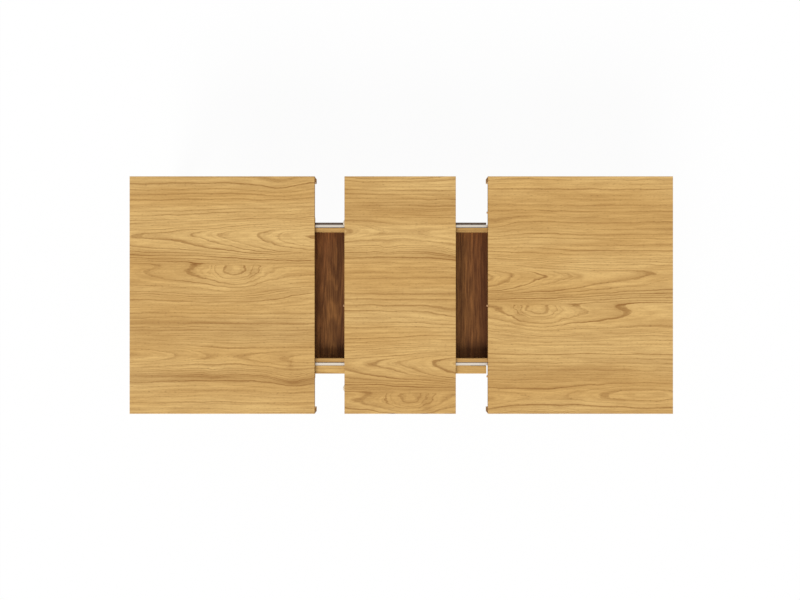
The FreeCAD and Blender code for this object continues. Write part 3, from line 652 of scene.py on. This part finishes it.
def solids(node: str) -> list[list[Vector]]:
    """The points of each separate solid in a frame node.

    Args:
        node: The node's name.

    Returns:
        One list of points for each solid.
    """
    work = bmesh.new()
    work.from_mesh(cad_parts[node].data)
    bmesh.ops.remove_doubles(work, verts=work.verts, dist=TINY)
    left = set(work.verts)
    found = []
    while left:
        queue = [left.pop()]
        points = []
        while queue:
            point = queue.pop()
            points.append(point.co.copy())
            near = {edge.other_vert(point) for edge in point.link_edges} & left
            left -= near
            queue += near
        found.append(points)
    work.free()
    return found


def box_of(points: list[Vector]) -> tuple[Vector, Vector]:
    """The lowest and highest corner of some points."""
    axes = list(zip(*points))
    return Vector([min(axis) for axis in axes]), Vector([max(axis) for axis in axes])


def stand(start: Vector, way: Vector) -> Matrix:
    """A place whose Z axis points along a direction."""
    return Matrix.Translation(start) @ way.to_track_quat("Z", "Y").to_matrix().to_4x4()


class RoundWork:
    """A mesh of turned, threaded and star-shaped pieces, skinned ring by ring."""

    thread_foot: float = 0.97
    thread_flank: float = 0.3

    def __init__(self, segments: int) -> None:
        """Start an empty mesh.

        Args:
            segments: Points in each ring.
        """
        self.segments = segments
        self.work = bmesh.new()

    def ring(self, outline: Outline, height: float) -> list[Vector]:
        """One ring about Z.

        Args:
            outline: Its radius, or a function of the angle that gives it.
            height: Its place along Z.

        Returns:
            The ring's points.
        """
        angles = [2 * pi * i / self.segments for i in range(self.segments)]
        reach = outline if callable(outline) else lambda angle: outline
        return [Vector((reach(a) * cos(a), reach(a) * sin(a), height)) for a in angles]

    def skin(self, shape: Sequence[tuple[Outline, float]], place: Matrix, hollow: bool = False) -> None:
        """Skin a shape from ring to ring.

        Args:
            shape: Each ring's outline and its place along Z, in order.
            place: Where the work stands.
            hollow: Whether the last ring joins the first, instead of both being filled.
        """
        made = [[self.work.verts.new(place @ point) for point in self.ring(*level)] for level in shape]
        pairs = zip(made, made[1:] + made[:1] if hollow else made[1:])
        for low, high in pairs:
            for i in range(len(low)):
                j = (i + 1) % len(low)
                self.work.faces.new((low[i], low[j], high[j], high[i]))
        if not hollow:
            self.work.faces.new(made[0][::-1])
            self.work.faces.new(made[-1])

    def thread(self, place: Matrix, start: float, end: float, root: float, crest: float,
               pitch: float) -> None:
        """A thread's ridge, wound about Z.

        Args:
            place: Where the work stands.
            start: Where the thread begins along Z.
            end: Where it ends.
            root: Radius at the foot of the ridge.
            crest: Radius at its edge.
            pitch: Rise in one turn.
        """
        steps = max(2, int((end - start) / pitch * self.segments))
        flank = self.thread_flank * pitch
        rows = []
        for k in range(steps + 1):
            angle = 2 * pi * k / self.segments
            height = start + pitch * k / self.segments
            fade = min(1.0, k / self.segments, (steps - k) / self.segments)
            way = Vector((cos(angle), sin(angle), 0))
            foot = way * root * self.thread_foot
            edge = way * (root + (crest - root) * fade)
            row = ((foot, -flank), (edge, 0.0), (foot, flank))
            rows.append([self.work.verts.new(place @ (p + Vector((0, 0, height + up)))) for p, up in row])
        for low, high in zip(rows, rows[1:]):
            for i in range(3):
                j = (i + 1) % 3
                self.work.faces.new((low[i], high[i], high[j], low[j]))
        self.work.faces.new(rows[0])
        self.work.faces.new(rows[-1][::-1])

    def piece(self, name: str, body: str, slot: str, finish: Finish, *nodes: str) -> None:
        """Make the finished piece.

        Args:
            name: Its name.
            body: The body it rides on.
            slot: The record's material slot; not used.
            finish: Its finish.
            nodes: The frame nodes that it stands for.
        """
        bmesh.ops.recalc_face_normals(self.work, faces=self.work.faces)
        mesh = bpy.data.meshes.new(name)
        self.work.to_mesh(mesh)
        self.work.free()
        mesh.shade_smooth()
        mesh.set_sharp_from_angle(angle=SHARP_ANGLE)
        piece = bpy.data.objects.new(name, mesh)
        bpy.context.scene.collection.objects.link(piece)
        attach(piece, body)
        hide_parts(*nodes)
        mesh.materials.append(finish.material())
        LOG.info("%s: %s faces, for %s", name, len(mesh.polygons), ", ".join(nodes))


class Head(Enum):
    """The kinds of screw head."""

    COUNTERSUNK = "countersunk"
    PAN = "pan"


PAN_HEAD = ((0.62, 0.0), (0.84, 0.16), (0.96, 0.45), (1.0, 0.8), (0.98, 1.0))


@dataclass(frozen=True)
class Screw:
    """A wood screw with a cross recess and a wound thread."""

    head: Head
    head_radius: float
    head_rise: float
    shank: float
    core: float
    pitch: float
    recess: float
    slit: float
    face: float = 0.96
    rim: float = 0.0002
    recess_foot: float = 0.4
    recess_depth: float = 0.75
    recess_lip: float = 0.9
    lip_depth: float = 0.0001
    plain_share: float = 0.25
    run_out: float = 0.0008
    thread_gap: float = 0.001
    point: float = 0.0002
    widest_share: float = 0.98
    sides: int = 16

    def star(self, share: float) -> Callable[[float], float]:
        """The outline of the cross recess.

        Args:
            share: Its size next to the full one.

        Returns:
            A function from angle to radius.
        """
        def reach(angle: float) -> float:
            """The recess's radius at an angle."""
            across = abs(sin(2 * angle) / 2) + TINY
            return share * min(self.recess, self.slit / across)
        return reach

    def turn(self, work: RoundWork, start: Vector, way: Vector, length: float) -> None:
        """Add the screw to a mesh.

        Args:
            work: The mesh.
            start: Middle of the head's outer face.
            way: Where its point is.
            length: From the outer face to the point.
        """
        place = stand(start, way)
        r, rise = self.head_radius, self.head_rise
        if self.head is Head.COUNTERSUNK:
            head = [(self.face * r, 0.0), (r, self.rim), (r, 2 * self.rim)]
        else:
            head = [(share * r, height * rise) for share, height in PAN_HEAD]
        tip = length - 2 * self.shank
        neck = rise + self.plain_share * (length - rise)
        shape = [(self.star(self.recess_foot), self.recess_depth * self.recess),
                 (self.star(self.recess_lip), self.lip_depth), (self.star(1.0), 0.0), *head,
                 (self.shank, rise), (self.shank, neck), (self.core, neck + self.run_out), (self.core, tip),
                 (self.point, length)]
        work.skin(shape, place)
        work.thread(place, neck + self.thread_gap, tip + self.shank, self.core, self.shank, self.pitch)

    def replace(self, node: str, body: str) -> None:
        """Make all screws of a frame node anew, each where the frame has it.

        Args:
            node: The node's name.
            body: The body it rides on.
        """
        work = RoundWork(self.sides)
        for points in solids(node):
            low, high = box_of(points)
            size = high - low
            axis = max(range(3), key=lambda i: size[i])
            middle = (low + high) / 2
            off = [p - middle for p in points]
            for from_axis in off:
                from_axis[axis] = 0.0
            widest = max(d.length for d in off)
            heads = [p[axis] for p, d in zip(points, off) if d.length > self.widest_share * widest]
            at_low = sum(heads) / len(heads) < middle[axis]
            start = middle.copy()
            start[axis] = low[axis] if at_low else high[axis]
            way = Vector((0, 0, 0))
            way[axis] = 1 if at_low else -1
            self.turn(work, start, way, size[axis])
        work.piece(f"{node}_threaded", body, "screw_steel", SCREW_STEEL, node)


WOOD_SCREW = Screw(Head.COUNTERSUNK, head_radius=0.0044, head_rise=0.0022, shank=0.0022, core=0.0015,
                   pitch=0.0022, recess=0.0026, slit=0.0005)
SLIDE_SCREW = Screw(Head.PAN, head_radius=0.0038, head_rise=0.0018, shank=0.0020, core=0.0014,
                    pitch=0.0018, recess=0.0022, slit=0.00045)


@dataclass
class Tray:
    """The storage tray between the slides."""

    sides: tuple[str, ...] = ("tray_side_north", "tray_side_south")
    edge: float = 0.0006
    floor_cut: Cut = Cut(way=1.0, start=0.0, edge=0.3)

    def dress(self) -> None:
        """Oak sides, walnut floor and ends, beech battens and packers, and steel screws."""
        dress_nodes({
            **dict.fromkeys(self.sides, StraightWood(TRAY_OAK, Grain.ALONG_X)),
            "tray_floor": FiguredWood("walnut_floor", WALNUT, WALNUT_FLITCH, Grain.ALONG_Y, self.floor_cut),
            "tray_ends": StraightWood(WALNUT, Grain.ALONG_Y),
            "tray_battens": BEECH_Y,
            "tray_packers": BEECH_X,
            "tray_joint_screws": SCREW_STEEL,
        })

    def build(self) -> None:
        """Ease the boards' edges and turn the screws."""
        for node in (*self.sides, "tray_floor", "tray_ends", "tray_battens"):
            soften(node, self.edge)
        WOOD_SCREW.replace("tray_joint_screws", "tray_frame")


@dataclass
class Slides:
    """The four telescopic slides."""

    corners: tuple[str, ...] = ("nw", "sw", "ne", "se")
    members: tuple[str, ...] = ("fixed", "middle", "inner")

    def dress(self) -> None:
        """Plated members, zinc ball cages and their screws."""
        members = [f"{member}_{corner}" for member in self.members for corner in self.corners]
        dress_nodes({**dict.fromkeys(members, SLIDE_STEEL), "fixed_screws": SCREW_STEEL}, "slide_")
        sets = {"outer_ball_cages": ZINC, "inner_ball_cages": ZINC, "slide_screws": SCREW_STEEL}
        for half in ("left_", "right_"):
            dress_nodes(sets, half)

    def build(self) -> None:
        """Turn the screws."""
        SLIDE_SCREW.replace("slide_fixed_screws", "tray_frame")
        for half in ("left", "right"):
            SLIDE_SCREW.replace(f"{half}_slide_screws", f"{half}_half")


@dataclass
class HalfTable:
    """One half of the table: top, aprons, legs and fittings."""

    half: str
    cut: Cut
    edge: float = 0.0008
    bolt: float = 0.004
    bolt_core: float = 0.0034
    bolt_pitch: float = 0.00125
    bolt_point: float = 0.0005
    bolt_taper: float = 0.006
    bolt_collar: float = 0.006
    bolt_run_out: float = 0.0005
    bolt_chamfer: float = 0.0006
    bolt_thread_gap: float = 0.001
    wood_thread: float = 0.45
    washer: float = 0.011
    washer_thick: float = 0.002
    nut: float = 0.0075
    nut_height: float = 0.008
    nut_face: float = 1.02
    nut_chamfer: float = 0.0007
    nut_mouth: tuple[float, float] = (0.0004, 0.0005)
    bore: float = 0.0041
    glide: float = 0.017
    glide_height: float = 0.006
    glide_top_edge: tuple[float, float] = (0.0006, 0.0008)
    stem: float = 0.004
    stem_tip: float = 0.6
    ribs: int = 4
    rib: Points = ((0.84, 0.1), (0.84, 0.4), (1.0, 0.75))
    nail_hollow: Points = ((0.0028, 0.0028), (0.0028, 0.0012), (0.0046, 0.0004), (0.0052, 0.0))
    glide_foot: Points = ((0.003, 0.0), (0.0012, 0.0005), (0.0003, 0.0016), (0.0, 0.003))
    bolt_sides: int = 20
    washer_sides: int = 32
    nut_sides: int = 48
    glide_sides: int = 36
    softened: tuple[str, ...] = ("top", "apron_north", "apron_south", "apron_end", "leg_north", "leg_south",
                                 "cleats", "cross_beam", "corner_blocks")

    def build(self) -> None:
        """Ease the edges and make the fittings anew."""
        for piece in self.softened:
            soften(f"{self.half}_{piece}", self.edge)
        WOOD_SCREW.replace(f"{self.half}_top_screws", f"{self.half}_half")
        self.make_bolts()
        self.make_washers()
        self.make_nuts()
        self.make_glides()

    def diagonals(self, kind: str) -> list[tuple[Vector, Vector, float]]:
        """Each leg fitting's middle, its level diagonal towards the table's middle, and its width along X.

        Args:
            kind: The fittings' node without the half's name.

        Returns:
            One entry for each fitting.
        """
        found = []
        for points in solids(f"{self.half}_{kind}"):
            low, high = box_of(points)
            middle = (low + high) / 2
            way = Vector((-1 if middle.x > 0 else 1, -1 if middle.y > 0 else 1, 0)).normalized()
            found.append((middle, way, high.x - low.x))
        return found

    def finish_zinc(self, work: RoundWork, kind: str) -> None:
        """Make the piece for one kind of zinc fitting."""
        node = f"{self.half}_{kind}"
        work.piece(f"{node}_machined", f"{self.half}_half", "zinc_bolts", ZINC, node)

    def make_bolts(self) -> None:
        """Hanger bolts with a coarse thread in the leg, a plain collar and a fine thread for the nut."""
        work = RoundWork(self.bolt_sides)
        core, full = self.bolt_core, self.bolt
        for middle, way, width in self.diagonals("leg_bolts"):
            length = (width - full * DIAGONAL) * DIAGONAL
            place = stand(middle - way * length / 2, way)
            shank = self.wood_thread * length
            collar = shank + self.bolt_collar
            fine = collar + self.bolt_run_out
            shape = ((self.bolt_point, 0.0), (core, self.bolt_taper), (core, shank), (full, shank),
                     (full, collar), (core, fine), (core, length - self.bolt_chamfer),
                     (core - self.bolt_chamfer, length))
            work.skin(shape, place)
            work.thread(place, self.bolt_taper - self.bolt_thread_gap, shank, core, full, 2 * self.bolt_pitch)
            work.thread(place, fine, length - self.bolt_thread_gap, core, full, self.bolt_pitch)
        self.finish_zinc(work, "leg_bolts")

    def make_washers(self) -> None:
        """Washers with rounded rims."""
        work = RoundWork(self.washer_sides)
        rim, half = self.washer_thick / 4, self.washer_thick / 2
        shape = ((self.bore, -half), (self.washer - rim, -half), (self.washer, -half + rim),
                 (self.washer, half - rim), (self.washer - rim, half), (self.bore, half))
        for middle, way, _ in self.diagonals("leg_washers"):
            work.skin(shape, stand(middle, way), hollow=True)
        self.finish_zinc(work, "leg_washers")

    def make_nuts(self) -> None:
        """Hexagon nuts with chamfered faces."""
        work = RoundWork(self.nut_sides)
        half, flat = self.nut_height / 2, self.nut * cos(pi / 6)
        wide, deep = self.nut_mouth

        def hexagon(angle: float) -> float:
            """The nut's radius at an angle."""
            return flat / cos((angle % (pi / 3)) - pi / 6)

        def turned_face(angle: float) -> float:
            """The radius of its chamfered face."""
            return min(hexagon(angle), flat * self.nut_face)

        shape = ((self.bore, -half), (turned_face, -half), (hexagon, -half + self.nut_chamfer),
                 (hexagon, half - self.nut_chamfer), (turned_face, half), (self.bore + wide, half),
                 (self.bore, half - deep))
        for middle, way, _ in self.diagonals("leg_nuts"):
            work.skin(shape, stand(middle, way), hollow=True)
        self.finish_zinc(work, "leg_nuts")

    def make_glides(self) -> None:
        """Moulded glides with a rounded foot, a ribbed stem and a hollow for the nail."""
        work = RoundWork(self.glide_sides)
        r, h = self.glide, self.glide_height
        bevel, drop = self.glide_top_edge
        for points in solids(f"{self.half}_glides"):
            low, high = box_of(points)
            place = Matrix.Translation(((low.x + high.x) / 2, (low.y + high.y) / 2, low.z))
            tall = high.z - low.z
            step = (tall - h) / self.ribs
            shape = [*self.nail_hollow, *((r - inset, height) for inset, height in self.glide_foot),
                     (r, h - drop), (r - bevel, h), (self.stem, h)]
            for k in range(self.ribs):
                foot = h + (tall - h) * k / self.ribs
                shape += [(self.stem * share, foot + height * step) for share, height in self.rib]
            shape.append((self.stem * self.stem_tip, tall))
            work.skin(shape, place)
        name = f"{self.half}_glides"
        work.piece(f"{name}_moulded", f"{self.half}_half", "glide_plastic", GLIDE_PLASTIC, name)

    def dress(self) -> None:
        """Figured oak top, straight oak frame, beech blocks and zinc bolts."""
        apron, leg = StraightWood(OAK, Grain.ALONG_X), StraightWood(OAK, Grain.ALONG_Z)
        dress_nodes({
            "top": FiguredWood(f"{self.half}_top_oak", OAK, OAK_FLITCH, Grain.ALONG_X, self.cut),
            "apron_north": apron, "leg_north": leg, "apron_south": apron, "leg_south": leg,
            "apron_end": StraightWood(OAK, Grain.ALONG_Y),
            "corner_blocks": BEECH_X, "cleats": BEECH_X, "cross_beam": BEECH_Y,
            "leg_bolts": ZINC, "leg_washers": ZINC, "leg_nuts": ZINC,
            "glides": GLIDE_PLASTIC, "top_screws": SCREW_STEEL,
        }, f"{self.half}_")


@dataclass
class Bearers:
    """The left half's bearers, which pass under the leaf."""

    edge: float = 0.0006

    def build(self) -> None:
        """Ease the bearers' edges."""
        for node in ("loper_south", "loper_north", "loper_cheeks"):
            soften(node, self.edge)

    def dress(self) -> None:
        """Oak south bearer, dark steel north bearer and beech cheeks."""
        south = StraightWood(RAIL_OAK, Grain.ALONG_X)
        dress_nodes({"south": south, "north": DARK_STEEL, "cheeks": BEECH_X}, "loper_")


@dataclass
class Leaf:
    """The loose centre leaf with its tongues and the locating pins."""

    cut: Cut
    edge: float = 0.0008
    tongue: float = 0.0181
    tongue_edge: float = 0.0012
    tongue_face: float = 0.006
    tongue_corner: float = 0.3
    groove: float = 0.0005
    groove_lip: float = 0.42
    groove_floor: float = 0.46
    pin: float = 0.004
    pin_flutes: int = 12
    pin_foot: float = 0.8
    pin_chamfer: float = 0.0012
    flute: float = 0.0003
    flute_start: float = 0.9
    flute_sharpness: int = 4
    pin_dome: Points = ((0.2, 0.0), (0.6, 0.06), (0.86, 0.2), (0.97, 0.4), (1.0, 0.6))
    tongue_sides: int = 64
    pin_sides: int = 48

    def build(self) -> None:
        """Ease the panel's edges and make the tongues and pins anew."""
        soften("leaf_panel", self.edge)
        self.make_tongues()
        for node, body in (("leaf_pin", "leaf"), ("right_pins", "right_half")):
            self.make_pins(node, body)

    def make_tongues(self) -> None:
        """Half-round tongues with eased edges and a groove along the middle."""
        work = RoundWork(self.tongue_sides)
        r, e, corner = self.tongue, self.tongue_edge, self.tongue_corner * self.tongue_edge
        for points in solids("leaf_tongues"):
            low, high = box_of(points)
            place = Matrix.Translation((low.x + r, (low.y + high.y) / 2, low.z))
            tall = high.z - low.z
            lower = [(r - self.tongue_face, 0.0), (r - e, 0.0), (r - corner, corner), (r, e),
                     (r, self.groove_lip * tall), (r - self.groove, self.groove_floor * tall)]
            work.skin(lower + [(radius, tall - height) for radius, height in reversed(lower)], place)
        work.piece("leaf_tongues_moulded", "leaf", "tongue_plastic", TONGUE_PLASTIC, "leaf_tongues")

    def make_pins(self, node: str, body: str) -> None:
        """Fluted dowels with domed tips.

        Args:
            node: The pins' frame node.
            body: The body they ride on.
        """
        work = RoundWork(self.pin_sides)

        def fluted(angle: float) -> float:
            """The dowel's radius at an angle."""
            hollow = 0.5 - 0.5 * cos(angle * self.pin_flutes)
            return self.pin - self.flute * hollow ** self.flute_sharpness

        for points in solids(node):
            low, high = box_of(points)
            place = stand(Vector((low.x, (low.y + high.y) / 2, (low.z + high.z) / 2)), Vector((1, 0, 0)))
            length = high.x - low.x
            dome = [(self.pin * share, self.pin * rise) for share, rise in self.pin_dome]
            work.skin([*dome, (fluted, self.flute_start * self.pin), (fluted, length - self.pin_chamfer),
                       (self.pin * self.pin_foot, length)], place)
        work.piece(f"{node}_turned", body, "pin_beech", BEECH_X, node)

    def dress(self) -> None:
        """Figured oak panel, plastic tongues and beech pins."""
        panel = FiguredWood("leaf_oak", OAK, OAK_FLITCH, Grain.ALONG_X, self.cut)
        dress_nodes({"leaf_panel": panel, "leaf_tongues": TONGUE_PLASTIC, "leaf_pin": BEECH_X,
                     "right_pins": BEECH_X})


@dataclass
class Studio:
    """White floor, soft light and the overhead camera."""

    floor_half: float = 15.0
    floor_white: float = 0.95
    floor_pale: Colour = (0.95, 0.95, 0.95, 1.0)
    floor_dull: Colour = (0.92, 0.92, 0.92, 1.0)
    floor_spots: Triple = (3.0, 3.0, 3.0)
    sky: float = 0.5
    sky_colour: Colour = (1.0, 1.0, 1.0, 1.0)
    sun: float = 2.5
    sun_spread: float = 0.5
    sun_travel: Triple = (0.26, 0.92, -1.0)
    lens: float = 50.0
    camera_place: Triple = (-0.0049, -0.0187, 4.9593)

    def build(self) -> None:
        """Set up the floor, the light and the camera."""
        self.lay_floor()
        self.light()
        self.place_camera()
        bpy.context.scene.view_settings.view_transform = "Standard"

    def seen_white(self, tree: bpy.types.NodeTree) -> Socket:
        """Which rays see the white backdrop: 1 for camera, mirror and glass rays.

        Args:
            tree: The node tree to read it in.

        Returns:
            The share's socket.
        """
        path = tree.nodes.new("ShaderNodeLightPath").outputs
        total = path["Is Camera Ray"]
        for name in ("Is Glossy Ray", "Is Transmission Ray"):
            add = tree.nodes.new("ShaderNodeMath")
            add.operation = "ADD"
            add.use_clamp = True
            tree.links.new(total, add.inputs[0])
            tree.links.new(path[name], add.inputs[1])
            total = add.outputs[0]
        return total

    def lay_floor(self) -> None:
        """A wide white floor that keeps a faint shadow."""
        mesh = bpy.data.meshes.new("floor")
        side = self.floor_half
        corners = [(-side, -side, 0), (side, -side, 0), (side, side, 0), (-side, side, 0)]
        mesh.from_pydata(corners, [], [(0, 1, 2, 3)])
        floor = bpy.data.objects.new("floor", mesh)
        bpy.context.scene.collection.objects.link(floor)
        sheet = Sheet("white_floor")
        place = GrainField(sheet, Grain.ALONG_X).place
        paint = sheet.mix(sheet.noise(place, self.floor_spots), self.floor_pale, self.floor_dull)
        matt = sheet.add("ShaderNodeBsdfDiffuse", {"Color": paint})
        glow = sheet.add("ShaderNodeEmission", {"Strength": 1.0})
        share = sheet.times(self.seen_white(sheet.tree), self.floor_white)
        both = sheet.add("ShaderNodeMixShader", {0: share, 1: matt.outputs[0], 2: glow.outputs[0]})
        sheet.add("ShaderNodeOutputMaterial", {"Surface": both.outputs[0]})
        mesh.materials.append(sheet.material)

    def light(self) -> None:
        """An even sky and one soft lamp from the near side, a little to the left."""
        world = bpy.data.worlds.new("studio")
        world.use_nodes = True
        tree = world.node_tree
        back = tree.nodes["Background"]
        level = tree.nodes.new("ShaderNodeMapRange")
        level.inputs["To Min"].default_value = self.sky
        level.inputs["To Max"].default_value = 1.0
        tree.links.new(self.seen_white(tree), level.inputs["Value"])
        back.inputs["Color"].default_value = self.sky_colour
        tree.links.new(level.outputs[0], back.inputs["Strength"])
        bpy.context.scene.world = world
        lamp = bpy.data.lights.new("key", "SUN")
        lamp.energy = self.sun
        lamp.angle = self.sun_spread
        key = bpy.data.objects.new("key", lamp)
        key.rotation_euler = Vector(self.sun_travel).to_track_quat("-Z", "Y").to_euler()
        bpy.context.scene.collection.objects.link(key)

    def place_camera(self) -> None:
        """A camera straight above the table, its top towards +Y."""
        lens = bpy.data.cameras.new("overhead")
        lens.lens = self.lens
        camera = bpy.data.objects.new("overhead", lens)
        camera.location = self.camera_place
        bpy.context.scene.collection.objects.link(camera)
        bpy.context.scene.camera = camera


def main() -> None:
    """Dress the sub-assemblies in order and set up the studio."""
    logging.basicConfig(level=logging.INFO, format="%(name)s: %(message)s")
    left = HalfTable("left", Cut(way=1.0, start=1.0295, edge=0.45))
    right = HalfTable("right", Cut(way=-1.0, start=0.9143, edge=0.298))
    leaf = Leaf(Cut(way=1.0, start=0.3655, edge=-0.036))
    for assembly in (Tray(), Slides(), left, right, Bearers(), leaf):
        assembly.build()
        assembly.dress()
    Studio().build()


if __name__ == "__main__":
    main()
